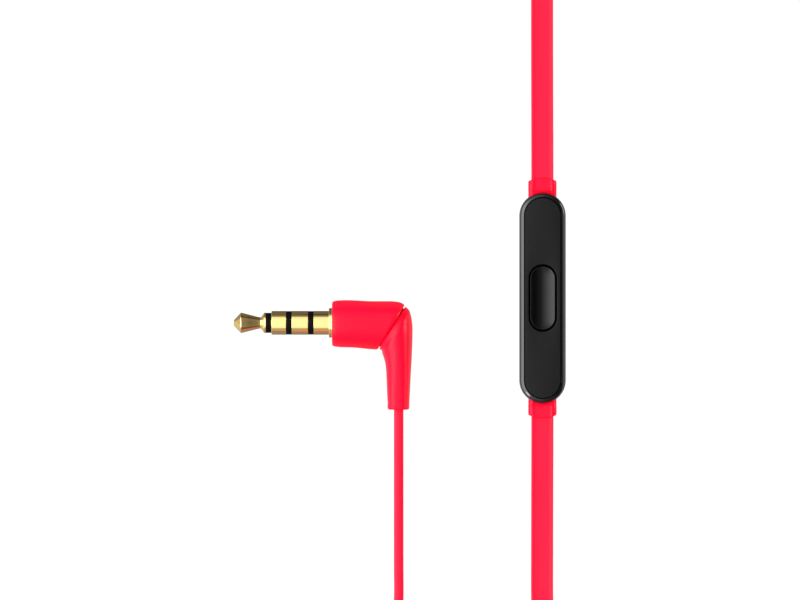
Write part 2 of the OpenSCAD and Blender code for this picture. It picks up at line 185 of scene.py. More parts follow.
# ---------------------------------------------------------------- materials
def make_mat(name, base, rough=0.5, metal=0.0, grain=9000.0, bump=0.15, bump_mm=0.01, vary=0.06, rough_vary=0.08,
             coat=0.0, coat_rough=0.1, sheen=0.0, spec=0.5, sss=0.0, streak=None, wear=None, aniso=0.0):
    """A Principled material with noise in its colour, roughness and surface. Sizes are in metres through object coordinates."""
    m = bpy.data.materials.new(name)
    m.use_nodes = True
    nt = m.node_tree
    n, l = nt.nodes, nt.links
    b = n["Principled BSDF"]
    b.inputs["Metallic"].default_value = metal
    b.inputs["Specular IOR Level"].default_value = spec
    b.inputs["Coat Weight"].default_value = coat
    b.inputs["Coat Roughness"].default_value = coat_rough
    b.inputs["Sheen Weight"].default_value = sheen
    if sss:
        b.inputs["Subsurface Weight"].default_value = sss
        b.inputs["Subsurface Scale"].default_value = 0.001
        b.inputs["Subsurface Radius"].default_value = (1.0, 0.3, 0.3)
    if aniso:
        b.inputs["Anisotropic"].default_value = aniso
    tc = n.new("ShaderNodeTexCoord")
    mp = n.new("ShaderNodeMapping")
    if streak:
        mp.inputs["Scale"].default_value = streak
    l.new(tc.outputs["Object"], mp.inputs["Vector"])
    fine = n.new("ShaderNodeTexNoise")
    fine.inputs["Scale"].default_value = grain
    fine.inputs["Detail"].default_value = 4.0
    l.new(mp.outputs["Vector"], fine.inputs["Vector"])
    broad = n.new("ShaderNodeTexNoise")
    broad.inputs["Scale"].default_value = grain * 0.03
    broad.inputs["Detail"].default_value = 3.0
    l.new(mp.outputs["Vector"], broad.inputs["Vector"])
    ramp = n.new("ShaderNodeValToRGB")
    lo = [c * (1 - vary) for c in base[:3]] + [1.0]
    hi = [min(1.0, c * (1 + vary)) for c in base[:3]] + [1.0]
    ramp.color_ramp.elements[0].position, ramp.color_ramp.elements[0].color = 0.3, lo
    ramp.color_ramp.elements[1].position, ramp.color_ramp.elements[1].color = 0.7, hi
    l.new(broad.outputs["Fac"], ramp.inputs["Fac"])
    colour = ramp.outputs["Color"]
    if wear:
        geo = n.new("ShaderNodeNewGeometry")
        edge = n.new("ShaderNodeMapRange")
        edge.inputs["From Min"].default_value, edge.inputs["From Max"].default_value = 0.52, 0.62
        edge.inputs["To Max"].default_value = wear[3]
        l.new(geo.outputs["Pointiness"], edge.inputs["Value"])
        mix = n.new("ShaderNodeMix")
        mix.data_type = "RGBA"
        mix.inputs["B"].default_value = (*wear[:3], 1.0)
        l.new(edge.outputs["Result"], mix.inputs["Factor"])
        l.new(colour, mix.inputs["A"])
        colour = mix.outputs["Result"]
    l.new(colour, b.inputs["Base Color"])
    rr = n.new("ShaderNodeMapRange")
    rr.inputs["To Min"].default_value = max(0.02, rough - rough_vary)
    rr.inputs["To Max"].default_value = min(1.0, rough + rough_vary)
    l.new(fine.outputs["Fac"], rr.inputs["Value"])
    l.new(rr.outputs["Result"], b.inputs["Roughness"])
    if bump:
        bp = n.new("ShaderNodeBump")
        bp.inputs["Strength"].default_value = bump
        bp.inputs["Distance"].default_value = bump_mm * MM
        l.new(fine.outputs["Fac"], bp.inputs["Height"])
        l.new(bp.outputs["Normal"], b.inputs["Normal"])
    return m


M = {
    "cord": make_mat("flat_cable_red", (0.95, 0.0045, 0.031), rough=0.40, grain=14000, bump=0.25, bump_mm=0.012, vary=0.04, spec=0.14),
    "boot": make_mat("elastomer_red", (0.86, 0.0022, 0.025), rough=0.28, grain=12000, bump=0.2, bump_mm=0.012, vary=0.04, spec=0.118),
    "gold": make_mat("gold_plate", (0.98, 0.71, 0.28), rough=0.09, metal=1.0, grain=6000, bump=0.04, bump_mm=0.006, vary=0.02, rough_vary=0.03, streak=(0.12, 1, 1)),
    "insulator": make_mat("insulator_black", (0.0022, 0.0022, 0.0022), rough=0.45, grain=9000, bump=0.15, spec=0.06),
    "gloss": make_mat("gloss_black", (0.0035, 0.0035, 0.0036), rough=0.14, grain=3500, bump=0.03, bump_mm=0.01, rough_vary=0.04, spec=0.5),
    "satin": make_mat("satin_black", (0.0046, 0.0046, 0.0046), rough=0.46, grain=16000, bump=0.3, bump_mm=0.012, rough_vary=0.06, spec=0.12),
    "button": make_mat("button_black", (0.0008, 0.0008, 0.0008), rough=0.22, grain=9000, bump=0.06, bump_mm=0.01, rough_vary=0.04, spec=0.22),
    "gloss_red": make_mat("gloss_red", (0.66, 0.008, 0.022), rough=0.2, grain=4000, bump=0.05, bump_mm=0.01, rough_vary=0.05, coat=0.5, coat_rough=0.08),
    "silicone": make_mat("silicone_black", (0.011, 0.011, 0.0115), rough=0.4, grain=7000, bump=0.12, bump_mm=0.012, rough_vary=0.08, sheen=0.12, spec=0.4),
    "steel": make_mat("stamped_steel", (0.58, 0.58, 0.6), rough=0.3, metal=1.0, grain=5000, bump=0.15, bump_mm=0.01, streak=(1, 8, 1)),
    "magnet": make_mat("nickel_plate", (0.62, 0.61, 0.58), rough=0.2, metal=1.0, grain=5000, bump=0.08),
    "copper": make_mat("enamelled_copper", (0.62, 0.24, 0.09), rough=0.28, metal=1.0, grain=9000, bump=0.3, streak=(12, 1, 1)),
    "film": make_mat("cone_film", (0.55, 0.46, 0.28), rough=0.3, grain=5000, bump=0.1, coat=0.2),
    "board": make_mat("solder_mask", (0.01, 0.09, 0.035), rough=0.35, grain=6000, bump=0.1, coat=0.3),
    "soft": make_mat("tie_black", (0.012, 0.012, 0.012), rough=0.62, grain=9000, bump=0.4, bump_mm=0.02, sheen=0.1),
    "ivory": make_mat("inner_moulding", (0.62, 0.6, 0.52), rough=0.5, grain=6000, bump=0.15),
}


def dress(ob, mat):
    ob.data.materials.clear()
    ob.data.materials.append(M[mat])
    return ob


# ---------------------------------------------------------------- cables
PLUG_X, PLUG_Y, PLUG_Z = -31.4, -3.65, 3.5
LIFT = 0.5
ZA = LIFT + 1.6
ZB = ZA + 3.25
CA, CB = (-19.0, -69.5), (-19.8, -111.0)
SX, SY = -40.5, -91.0
BUD_R = (-31.0, 55.4, 6.0, -12.0)
BUD_L = (CB[0] - 6.65, CB[1] - 4.8, 6.0, 0.0)


def spiral(c, a0, a1, r0, r1, z0, z1, step=4.0, phase=0.0, wob=0.0):
    n = max(2, int(abs(a1 - a0) / step))
    out = []
    for k in range(n + 1):
        t = k / n
        a = math.radians(a0 + (a1 - a0) * t)
        s = t * t * (3 - 2 * t)
        r = r0 + (r1 - r0) * t + wob * math.sin(2 * a + phase)
        z = z0 + (z1 - z0) * s
        out.append((c[0] + r * math.cos(a), c[1] + r * math.sin(a), z, 90.0))
    return out


def resample(pts, step):
    p = np.array(pts, float)
    d = np.r_[0, np.cumsum(np.linalg.norm(np.diff(p[:, :3], axis=0), axis=1))]
    keep = np.r_[True, np.diff(d) > 1e-6]
    p, d = p[keep], d[keep]
    n = max(8, int(round(d[-1] / step)))
    u = np.linspace(0, d[-1], n + 1)
    return np.stack([np.interp(u, d, p[:, k]) for k in range(4)], 1)


def relax(p, rounds):
    """Takes the kinks out of a route. Its two ends and their directions stay."""
    p = p.copy()
    for _ in range(rounds):
        q = p.copy()
        q[2:-2] = 0.25 * p[1:-3] + 0.5 * p[2:-2] + 0.25 * p[3:-1]
        p = q
    return p


def cord_section(w=1.6, t=0.7, web=0.631):
    """The flat cable's outline: rounded edges, a low bead along each edge, and a slightly thinner web between them."""
    quarter = [(w - 0.23 + 0.23 * math.cos(math.radians(a)), t * math.sin(math.radians(a))) for a in (4, 14, 26, 38, 50, 62, 74, 84, 90)]
    quarter += [(w - x, y) for x, y in ((0.28, 0.694), (0.34, 0.680), (0.40, 0.663), (0.46, 0.648), (0.52, 0.638), (0.57, web + 0.002), (1.15, web))]
    half = quarter + [(0.0, web)] + [(-x, y) for x, y in quarter[::-1]]
    return half + [(-x, -y) for x, y in half]


def cable(name, route, step=0.7, rounds=6, nodes=(), w=1.6):
    p = relax(resample(route, step), rounds)
    t = np.gradient(p[:, :3], axis=0)
    t /= np.linalg.norm(t, axis=1)[:, None]
    sec = cord_section(w)
    rings = []
    for q, tan in zip(p, t):
        s = np.cross(tan, (0, 0, 1.0))
        s /= np.linalg.norm(s)
        u = np.cross(s, tan)
        a = math.radians(q[3])
        w, n = s * math.cos(a) + u * math.sin(a), u * math.cos(a) - s * math.sin(a)
        rings.append([q[:3] + w * c[0] + n * c[1] for c in sec])
    v, f = loft_mesh(rings)
    ob = mesh_object(name, v, f)
    sharpen(ob, 60)
    dress(ob, "cord")
    if nodes:
        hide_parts(*nodes)
    path = [tuple(float(x) * MM for x in q[:3]) for q in p]
    long = float(np.linalg.norm(np.diff(np.array(path), axis=0), axis=1).sum())
    print("cable", name, round(long, 4))
    return ob, path, long


def catmull(pts, n=8):
    p = [np.array(q, float) for q in pts]
    p = [2 * p[0] - p[1]] + p + [2 * p[-1] - p[-2]]
    out = []
    for i in range(1, len(p) - 2):
        a, b, c, d = p[i - 1], p[i], p[i + 1], p[i + 2]
        for k in range(n):
            t = k / n
            out.append(0.5 * ((2 * b) + (c - a) * t + (2 * a - 5 * b + 4 * c - d) * t * t + (3 * b - a - 3 * c + d) * t ** 3))
    out.append(p[-2])
    return [tuple(q) for q in out]


lead = [(-21.15, -16.1, PLUG_Z, 90), (-21.15, -20, PLUG_Z, 90), (-21.15, -27, 3.1, 90), (-21.15, -34, 2.5, 90), (-21.15, -40, 2.2, 90), (-21.15, -45, ZA, 90), (-21.7, -48, ZA, 90), (-23.4, -50.5, ZA, 90)]
tail = [(-37.8, -73, 5.3, 90), (-38.6, -77, 4.8, 90), (-39.8, -80.5, 4.3, 90), (SX, -83, 4, 90), (SX, -84.4, 4, 90)]
turns_a = 7 + (180 - 115) / 360
half = 115 + 3.5 * 360
main_route = (catmull(lead)
              + spiral(CA, 115, half - 30, 18.7, 13.75, ZA, ZA - 0.05, phase=0.6, wob=0.12)
              + spiral(CA, half - 30, half + 45, 13.75, 13.75, ZA - 0.05, ZB, phase=0.6, wob=0.12)[1:]
              + spiral(CA, half + 45, 115 + 360 * turns_a, 13.75, 18.7, ZB, ZB + 0.1, phase=0.6, wob=0.12)[1:]
              + catmull(tail))
left_route = (catmull([(SX, -97.6, ZA, 90), (SX, -100, ZA, 90), (-40.7, -105, ZA, 90)])
              + spiral(CB, 184, 1175, 21.0, 17.08, ZA, ZA, phase=0.2, wob=0.1)
              + spiral(CB, 1175, 1235, 17.08, 17.1, ZA, ZB, phase=0.2, wob=0.1)[1:]
              + spiral(CB, 1235, 1518, 17.1, 17.35, ZB, ZB, phase=0.2, wob=0.1)[1:]
              + [(CB[0] + 1.85 + 8.5 * math.cos(math.radians(a)), CB[1] + 8.7 + 8.5 * math.sin(math.radians(a)), ZB + 0.65 * (a - 78) / 102, 90) for a in range(84, 181, 6)]
              + [(BUD_L[0], BUD_L[1] + 13.1, 6, 90)])
lower = [(0, -17.35, 2.5, 0), (0, -20.4, 2.5, 0), (0, -26, 1.9, 0), (0, -32, 1.3, 0), (0, -38, 0.9, 0), (0, -44, 0.75, 0), (0.1, -47.5, 1.12, 12), (0.3, -51, 1.4, 25), (0.9, -57, 1.72, 50), (1.4, -63, 1.78, 75), (1.5, -69, 1.65, 90), (1.5, -77, 1.63, 90), (1.5, -85, 1.63, 90), (1.4, -92, 2.1, 90), (1.3, -98, 3.2, 90), (1.2, -104, 4.6, 90)]
right_low_route = (catmull(lower) + spiral(CB, 0, -540, 21.0, 18.9, ZB, ZB + 0.05, phase=0.2, wob=0.1)
                   + catmull([(-39.6, -104, 5.5, 90), (SX, -99.5, 5.8, 90), (SX, -97.6, 5.8, 90)]))
upper = ([(0, 17.35, 2.5, 0), (0, 20.4, 2.5, 0), (0, 26, 1.9, 0), (0, 32, 1.3, 0), (0, 38, 0.9, 0), (0, 44, 0.75, 0), (0, 48, 1.14, 12), (0, 52, 1.4, 25), (0, 58.5, 1.72, 50), (0, 65, 1.78, 75), (0, 71.5, 1.65, 90)]
         + [(-15.5 + 15.5 * math.cos(math.radians(a)), 73 + 15.1 * math.sin(math.radians(a)), 1.65, 90) for a in range(24, 157, 22)]
         + [(-31, 72.6, 2.3, 90), (-31, 70.2, 2.9, 90), (-31, 68.4, 3.25, 90)])
C_MAIN = cable("main_cable", main_route, nodes=("main_cable_lead", "main_cable_coil", "main_cable_tail"))
C_LEFT = cable("left_cable", left_route, nodes=("left_cable_head", "left_cable_coil", "left_cable_end"))
C_LOW = cable("right_cable_to_remote", right_low_route, nodes=("right_cable_lower", "right_cable_coil", "right_cable_head"), w=1.63)
C_UP = cable("right_cable_to_earbud", catmull(upper), nodes=("right_cable_upper",), w=1.63)

# ---------------------------------------------------------------- plug
def on_plug(profile):
    return [(PLUG_X - 14 + u, r) for u, r in profile]


def plug_part(name, profile, radius, mat, node, steps=128, n=5):
    ob = lathe(name, rounded(on_plug(profile), radius, n), steps, (0, PLUG_Y, PLUG_Z))
    dress(ob, mat)
    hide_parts(node)
    return ob


tip = plug_part("plug_contact_tip",
                [(0, 0), (0, 0.40), (1.05, 1.52), (2.4, 1.18), (3.4, 0.92), (3.97, 0.80), (4.48, 1.48), (4.72, 1.50), (4.72, 0.4), (16.5, 0.4), (16.5, 0)],
                [0, 0.14, 0.20, 0.6, 0.3, 0.12, 0.12, 0.02, 0, 0, 0], "gold", "plug_tip")
ins1 = plug_part("plug_insulator_1", [(4.72, 0.4), (4.72, 1.47), (5.54, 1.47), (5.54, 0.9), (7.7, 0.9), (7.7, 0.4)], [0, 0.02, 0.02, 0, 0, 0], "insulator", "plug_insulator_front")
ring1 = plug_part("plug_contact_ring_1", [(5.54, 0.9), (5.54, 1.66), (5.62, 1.75), (5.72, 1.75), (7.62, 1.75), (7.7, 1.75), (7.7, 0.9)], [0, 0.03, 0.04, 0, 0, 0.03, 0], "gold", "plug_ring_front")
ins2 = plug_part("plug_insulator_2", [(7.7, 0.4), (7.7, 1.725), (8.53, 1.725), (8.53, 0.9), (10.93, 0.9), (10.93, 0.4)], [0, 0.02, 0.02, 0, 0, 0], "insulator", "plug_insulator_middle")
ring2 = plug_part("plug_contact_ring_2", [(8.53, 0.9), (8.53, 1.75), (8.62, 1.75), (10.84, 1.75), (10.93, 1.75), (10.93, 0.9)], [0, 0.035, 0, 0, 0.035, 0], "gold", "plug_ring_rear")
ins3 = plug_part("plug_insulator_3", [(10.93, 0.4), (10.93, 1.725), (11.76, 1.725), (11.76, 0.9), (16.5, 0.9), (16.5, 0.4)], [0, 0.02, 0.02, 0, 0, 0], "insulator", "plug_insulator_rear")
sleeve = plug_part("plug_contact_sleeve", [(11.76, 0.9), (11.76, 1.75), (11.85, 1.75), (13.88, 1.75), (13.97, 1.75), (14.0, 2.17), (14.44, 2.17), (14.47, 2.5), (16.5, 2.5), (16.5, 0.9)], [0, 0.035, 0, 0, 0.02, 0.1, 0.06, 0.02, 0, 0], "gold", "plug_sleeve")

# The moulded cover: a barrel cut on the slant, and an elbow that tapers down to the cable
SEAM_A, SEAM_B = np.array((-24.19, -7.56)), np.array((-20.29, -0.94))
SEAM_U = (SEAM_B - SEAM_A) / np.linalg.norm(SEAM_B - SEAM_A)
SEAM_N = np.array((-SEAM_U[1], SEAM_U[0]))     # points to the barrel's side


BOOT_Y = -3.78                                  # the cover sits a touch low on the plug


def smooth01(t):
    t = min(1.0, max(0.0, t))
    return t * t * (3 - 2 * t)


def barrel_radius(x, cy):
    u = x - (PLUG_X - 14)
    xs = [14.45, 14.465, 14.5, 14.56, 14.7, 15.03, 15.4, 16.0, 17.5, 20.0, 22.0, 23.2, 24.0, 24.56, 25.11, 25.6, 26.2]
    rs = [3.05, 3.12, 3.185, 3.24, 3.31, 3.39, 3.435, 3.47, 3.49, 3.49, 3.49, 3.485, 3.42, 3.29, 3.02, 2.72, 2.3]
    r = float(np.interp(u, xs, rs))
    # flatter along the top, swelling at the inside of the bend
    r -= 0.17 * smooth01((x + 29) / 4) * max(0.0, cy) ** 2
    r += 0.31 * smooth01((x + 28.5) / 4.3) * max(0.0, -cy) ** 3
    return r


STEPS = 144
barrel_rings = []
for u, r in [(14.46, 2.25), (14.45, 2.55), (14.45, 2.8)]:
    barrel_rings.append([(PLUG_X - 14 + u, BOOT_Y + (r - 0.1) * math.cos(2 * math.pi * k / STEPS) + 0.06, PLUG_Z + r * math.sin(2 * math.pi * k / STEPS)) for k in range(STEPS)])
stations = [0.0, 0.004, 0.009, 0.018, 0.032, 0.05, 0.075, 0.11, 0.15, 0.2, 0.26, 0.33, 0.41, 0.5, 0.58, 0.66, 0.73, 0.79, 0.84, 0.88, 0.91, 0.935, 0.955, 0.97, 0.982, 0.992, 1.0]
for s in stations:
    ring = []
    for k in range(STEPS):
        a = 2 * math.pi * k / STEPS
        cy, sz = math.cos(a), math.sin(a)
        x0 = PLUG_X - 14 + 14.45
        x1 = -22.0                         # where this line of the barrel meets the seam
        for _ in range(40):
            y = BOOT_Y + barrel_radius(x1, cy) * cy
            x1 = 0.5 * x1 + 0.5 * (SEAM_A[0] + (y - SEAM_A[1]) * SEAM_U[0] / SEAM_U[1])
        x = x0 + (x1 - x0) * s
        r = barrel_radius(x, cy)
        if s > 0.955:                      # the lip rolls in at the seam
            r -= 0.12 * ((s - 0.955) / 0.045) ** 2
        ring.append((x, BOOT_Y + r * cy, PLUG_Z + min(r, 3.49) * sz))
    barrel_rings.append(ring)
last = np.array(barrel_rings[-1])
mid = last.mean(0)
for shrink in (0.06, 0.3, 0.7):
    barrel_rings.append([tuple(q + (mid - q) * shrink) for q in last])
v, f = loft_mesh(barrel_rings)
barrel = dress(sharpen(mesh_object("plug_cover_barrel", v, f), 50), "boot")
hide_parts("plug_barrel_cover")

ELBOW = np.array([
    [-20.22, -1.28, -24.02, -7.42, 2.80, 2.0], [-19.86, -1.52, -23.84, -7.56, 3.04, 2.02], [-19.56, -1.90, -23.64, -7.74, 3.27, 2.05], [-19.36, -2.55, -23.58, -7.98, 3.39, 2.1],
    [-19.21, -3.35, -23.54, -8.22, 3.40, 2.15], [-19.12, -4.35, -23.41, -8.55, 3.36, 2.22], [-19.12, -5.5, -23.30, -8.93, 3.3, 2.3], [-19.17, -7.1, -23.15, -9.5, 3.22, 2.4],
    [-19.26, -9.2, -23.03, -10.4, 3.08, 2.55], [-19.39, -11.5, -22.94, -11.95, 2.9, 2.75], [-19.51, -13.9, -22.86, -14.05, 2.7, 2.95], [-19.58, -15.5, -22.78, -15.5, 2.57, 3.1],
    [-19.60, -16.1, -22.82, -16.1, 2.53, 3.2], [-19.63, -16.27, -22.74, -16.27, 2.49, 3.2], [-19.71, -16.36, -22.66, -16.36, 2.42, 3.2], [-19.9, -16.4, -22.5, -16.4, 2.25, 3.1]])


def dense_rows(rows, n):
    """Smoothly interpolates rows of numbers with a Catmull-Rom curve."""
    return np.array(catmull([tuple(r) for r in rows], n))


def spow(v, e):
    return math.copysign(abs(v) ** e, v)


rows_e = np.vstack([dense_rows(ELBOW[:12], 6), ELBOW[12:]])
AROUND = [2 * math.pi * k / 144 for k in range(144)]


def elbow_ring(e, scale=1.0, shift=0.0, bend=0.0):
    """One section of the elbow. bend pulls its middle up to the seam, so that the groove opens only at the outer corner."""
    c, h = (e[:2] + e[2:4]) / 2, (e[:2] - e[2:4]) / 2 * scale
    out = []
    for a in AROUND:
        w = spow(math.cos(a), 2 / e[5])
        q = c + h * w
        t = (1 + w) / 2
        line = 0.10 * (1 - t) + 0.75 * t
        gap = 0.09 + 0.66 * smooth01((t - 0.42) / 0.58) ** 1.3
        q = q + SEAM_N * (bend * (line - gap) - shift)
        out.append((q[0], q[1], PLUG_Z + e[4] * scale * spow(math.sin(a), 2 / e[5])))
    return out


def neck_ring(scale, off):
    c, h = (SEAM_A + SEAM_B) / 2, (SEAM_B - SEAM_A) / 2 * scale
    return [(c[0] + h[0] * math.cos(a) - SEAM_N[0] * off, c[1] + h[1] * math.cos(a) - SEAM_N[1] * off, PLUG_Z + 3.4 * scale * math.sin(a)) for a in AROUND]


rings = [neck_ring(0.2, -0.35), neck_ring(0.6, -0.35), neck_ring(0.86, -0.35), neck_ring(0.89, -0.05),
         elbow_ring(rows_e[0], 0.895, 0.0, 1.0), elbow_ring(rows_e[0], 0.92, 0.0, 1.0), elbow_ring(rows_e[0], 0.955, 0.005, 1.0), elbow_ring(rows_e[0], 0.982, 0.02, 1.0), elbow_ring(rows_e[0], 0.994, 0.045, 1.0)]
for i, e in enumerate(rows_e[1:], 1):
    rings.append(elbow_ring(e, bend=max(0.0, 1 - i / 16.0) ** 1.5))
v, f = loft_mesh(rings)
elbow = dress(sharpen(mesh_object("plug_cover_elbow", v, f), 50), "boot")
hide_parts("plug_elbow_cover")

# ---------------------------------------------------------------- remote
PR, PS = 3.4, 12.1
H = 4.75
rear_prof = rounded([(0, 0), (1.8, 0), (2.5, 0.12), (3.1, 0.62), (3.37, 1.4), (3.4, 2.48), (2.75, 2.48), (2.75, 1.5), (2.3, 0.75), (0, 0.65)], [0, 0.2, 0.5, 0.6, 0.5, 0.05, 0, 0.3, 0.2, 0], 5)
rear = pill_solid("remote_back_cover", PS, rear_prof)
dress(rear, "gloss")
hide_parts("remote_rear_shell")
bevel, bx, bz = [(3.4, 0.0)], 3.4, 0.0      # a steep rim, then a gentle slope up to the face
for k in range(40):
    x = 3.4 - 0.635 * (k + 0.5) / 40
    ang = float(np.interp(-x, [-3.4, -3.33, -3.24, -3.19, -3.14, -3.05, -2.85, -2.79, -2.765], [80, 74, 66, 50, 33, 28, 25, 18, 5]))
    bx -= 0.635 / 40
    bz += 0.635 / 40 * math.tan(math.radians(ang))
    bevel.append((bx, bz))
bevel = [(x, H - 0.01 - bz + z) for x, z in bevel]
front_prof = [(2.75, 2.52), (3.37, 2.52), (3.4, 2.56), (3.4, 3.2)] + bevel + [(2.758, H - 0.018), (2.752, H - 0.04), (2.75, H - 0.08), (2.75, 4.0), (2.42, 4.0), (2.42, 3.7), (2.75, 3.4)]
fshell = pill_solid("remote_front_bezel", PS, front_prof)
dress(fshell, "gloss")
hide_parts("remote_front_shell")


def cut(ob, cutter):
    m = ob.modifiers.new("cut", "BOOLEAN")
    m.operation, m.solver, m.object = "DIFFERENCE", "EXACT", cutter
    bpy.context.view_layer.update()
    dg = bpy.context.evaluated_depsgraph_get()
    me = bpy.data.meshes.new_from_object(ob.evaluated_get(dg))
    ob.modifiers.clear()
    old = ob.data
    ob.data = me
    bpy.data.meshes.remove(old)
    me.polygons.foreach_set("use_smooth", [True] * len(me.polygons))
    sharpen(ob, 35)
    return ob


def box_outline(w, h, r, n=8):
    pts = []
    for sx, sy, a0 in ((1, 1, 0), (-1, 1, 90), (-1, -1, 180), (1, -1, 270)):
        for k in range(n + 1):
            a = math.radians(a0 + 90 * k / n)
            pts.append((sx * (w / 2 - r) + r * math.cos(a), sy * (h / 2 - r) + r * math.sin(a)))
    return pts


def drop(ob):
    me = ob.data
    bpy.data.objects.remove(ob, do_unlink=True)
    bpy.data.meshes.remove(me)


def beaded_outline(w, h, r, n=8):
    """A rounded box whose broad sides sit a little below two raised edges, like the flat cable's."""
    pts, q = [], w / 2 - r
    fr = [0.95, 0.925, 0.895, 0.865, 0.835, 0.81, 0.79, 0.5, 0.0]
    fr = fr + [-t for t in fr[-2::-1]]
    for sx, sy, a0 in ((1, 1, 0), (-1, 1, 90), (-1, -1, 180), (1, -1, 270)):
        for k in range(n + 1):
            a = math.radians(a0 + 90 * k / n)
            pts.append((sx * q + r * math.cos(a), sy * (h / 2 - r) + r * math.sin(a)))
        if a0 in (0, 180):
            for t in fr:
                pts.append((sy * t * q, sy * (h / 2 - 0.07 * smooth01((0.95 - abs(t)) / 0.16))))
    return pts


def section_loft(name, sections, place, body="body", sharp=45, outline=box_outline):
    """sections: (distance along, width, height, corner radius). place maps (across, up, along) to the frame."""
    rings = [[place(x, y, d) for x, y in outline(w, h, min(r, w / 2 - 1e-3, h / 2 - 1e-3))] for d, w, h, r in sections]
    v, f = loft_mesh(rings)
    ob = mesh_object(name, v, f, body=body)
    return sharpen(ob, sharp)


for sign in (1, -1):
    c = section_loft("cutter", [(12.4, 4.18, 2.43, 0.6), (16.5, 4.18, 2.43, 0.6)], lambda x, y, d: (x, sign * d, 2.5 + y), body=None)
    cut(rear, c)
    cut(fshell, c)
    drop(c)
hole_v, hole_f = loft_mesh([[(0.4 * math.cos(2 * math.pi * k / 32), -9.4 + 0.4 * math.sin(2 * math.pi * k / 32), z) for k in range(32)] for z in (-1, 2)])
c = mesh_object("cutter", hole_v, hole_f, body=None)
cut(rear, c)
drop(c)

# The face plate has an oval opening. Its rim and the opening's edge are broken by a small radius.
def plate_ring(s0, r0, s1, r1, z0, z1, e=0.05, n=40):
    outer, inside = pill_outline(s0, r0, n), pill_outline(s1, r1, n)
    # both outlines are walked at equal shares of their length, so that they pair up
    def even(pts, m):
        p = np.array(pts + [pts[0]])
        d = np.r_[0, np.cumsum(np.linalg.norm(np.diff(p, axis=0), axis=1))]
        u = np.linspace(0, d[-1], m + 1)[:-1]
        return np.stack([np.interp(u, d, p[:, k]) for k in (0, 1)], 1)
    return outer, inside, even


def stadium_at(s, r, angle_list):
    """Where a ray from the centre meets the pill outline."""
    out = []
    for a in angle_list:
        c, q = math.cos(a), math.sin(a)
        t = r / max(abs(c), 1e-9)
        if abs(t * q) <= s:
            out.append((t * c, t * q))
        else:
            sg = 1 if q > 0 else -1
            b, cc = sg * s * q, s * s - r * r
            t = b + math.sqrt(max(b * b - cc, 0))
            out.append((t * c, t * q))
    return out


def even_angles(s, r, m=220):
    pts = pill_outline(s, r, 40)
    return sorted({round(math.atan2(y, x), 7) for x, y in pts})


angs = sorted(set(even_angles(PS, 2.60)) | set(even_angles(2.86, 2.09)))
rings = []
for s, r, z in ((2.86, 2.09, 4.02), (2.86, 2.09, 4.63), (2.86, 2.10, 4.67), (2.86, 2.13, 4.695), (2.86, 2.17, 4.70),
                (PS, 2.555, 4.70), (PS, 2.58, 4.695), (PS, 2.595, 4.68), (PS, 2.60, 4.65), (PS, 2.612, 4.55), (PS, 2.74, 4.15), (PS, 2.745, 4.02)):
    rings.append([(x, y, z) for x, y in stadium_at(s, r, angs)])
v, f = loft_mesh(rings, closed=True)
plate = dress(sharpen(mesh_object("remote_face", v, f), 50), "satin")
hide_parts("remote_face_plate")

# The button: a dished top, a rounded rim, a flange under the plate and a nub over the dome
def dish(r):
    """Depth of the dished face, r from the button's middle line."""
    return 0.41 * max(0.0, 1 - (r / 1.75) ** 2)


rings = []
BS = (9.3 - 3.6) / 2
for s, r, z in ((BS, 0.62, 3.58), (BS, 2.25, 3.57), (BS, 2.27, 3.6), (BS, 2.27, 3.9), (BS, 2.24, 3.93), (BS, 2.05, 3.96), (BS, 1.84, 4.3), (BS, 1.80, 4.45), (BS, 1.80, 4.61), (BS, 1.797, 4.638), (BS, 1.785, 4.658), (BS, 1.768, 4.666), (BS, 1.75, 4.668)):
    rings.append([(c[0], c[1], z) for c in pill_outline(s, r, 32)])
for r in (1.735, 1.70, 1.65, 1.58, 1.5, 1.39, 1.28, 1.15, 1.0, 0.86, 0.71, 0.56, 0.4, 0.25, 0.12, 0.02):
    rings.append([(x, y, 4.668 - dish(r)) for x, y in pill_outline(BS, r, 32)])
v, f = loft_mesh(rings)
nub = len(v)
nv, nf = loft_mesh([[(r * math.cos(2 * math.pi * k / 32), r * math.sin(2 * math.pi * k / 32), z) for k in range(32)] for r, z in ((0.6, 3.6), (0.6, 2.98), (0.56, 2.935), (0.45, 2.92))])
button = mesh_object("remote_push_button", v + nv, f + [tuple(i + nub for i in q) for q in nf], body="remote_button")
dress(sharpen(button, 55), "button")
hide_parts("remote_button")

for side, sign, node in (("upper", 1, "remote_collar_upper"), ("lower", -1, "remote_collar_lower")):
    ob = section_loft("cable_collar_" + side, [(12.7, 4.2, 2.7, 0.6), (13.25, 4.28, 2.78, 0.6), (13.3, 4.13, 2.38, 0.6), (15.0, 4.13, 1.96, 0.6), (15.5, 4.13, 1.98, 0.6), (15.72, 4.13, 2.16, 0.6), (15.95, 4.14, 2.32, 0.6), (16.3, 4.15, 2.40, 0.62), (17.45, 4.14, 2.39, 0.62), (17.54, 4.11, 2.36, 0.62), (17.60, 4.04, 2.29, 0.6), (17.64, 3.92, 2.17, 0.56), (17.65, 3.7, 1.95, 0.5), (17.65, 3.4, 1.62, 0.46)],
                      lambda x, y, d: (x * sign, sign * (d - 0.42 * max(0.0, (d - 15.6) / 2.05) * (x / 2.07) ** 2), 2.5 + y), outline=beaded_outline)
    dress(ob, "boot")
    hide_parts(node)

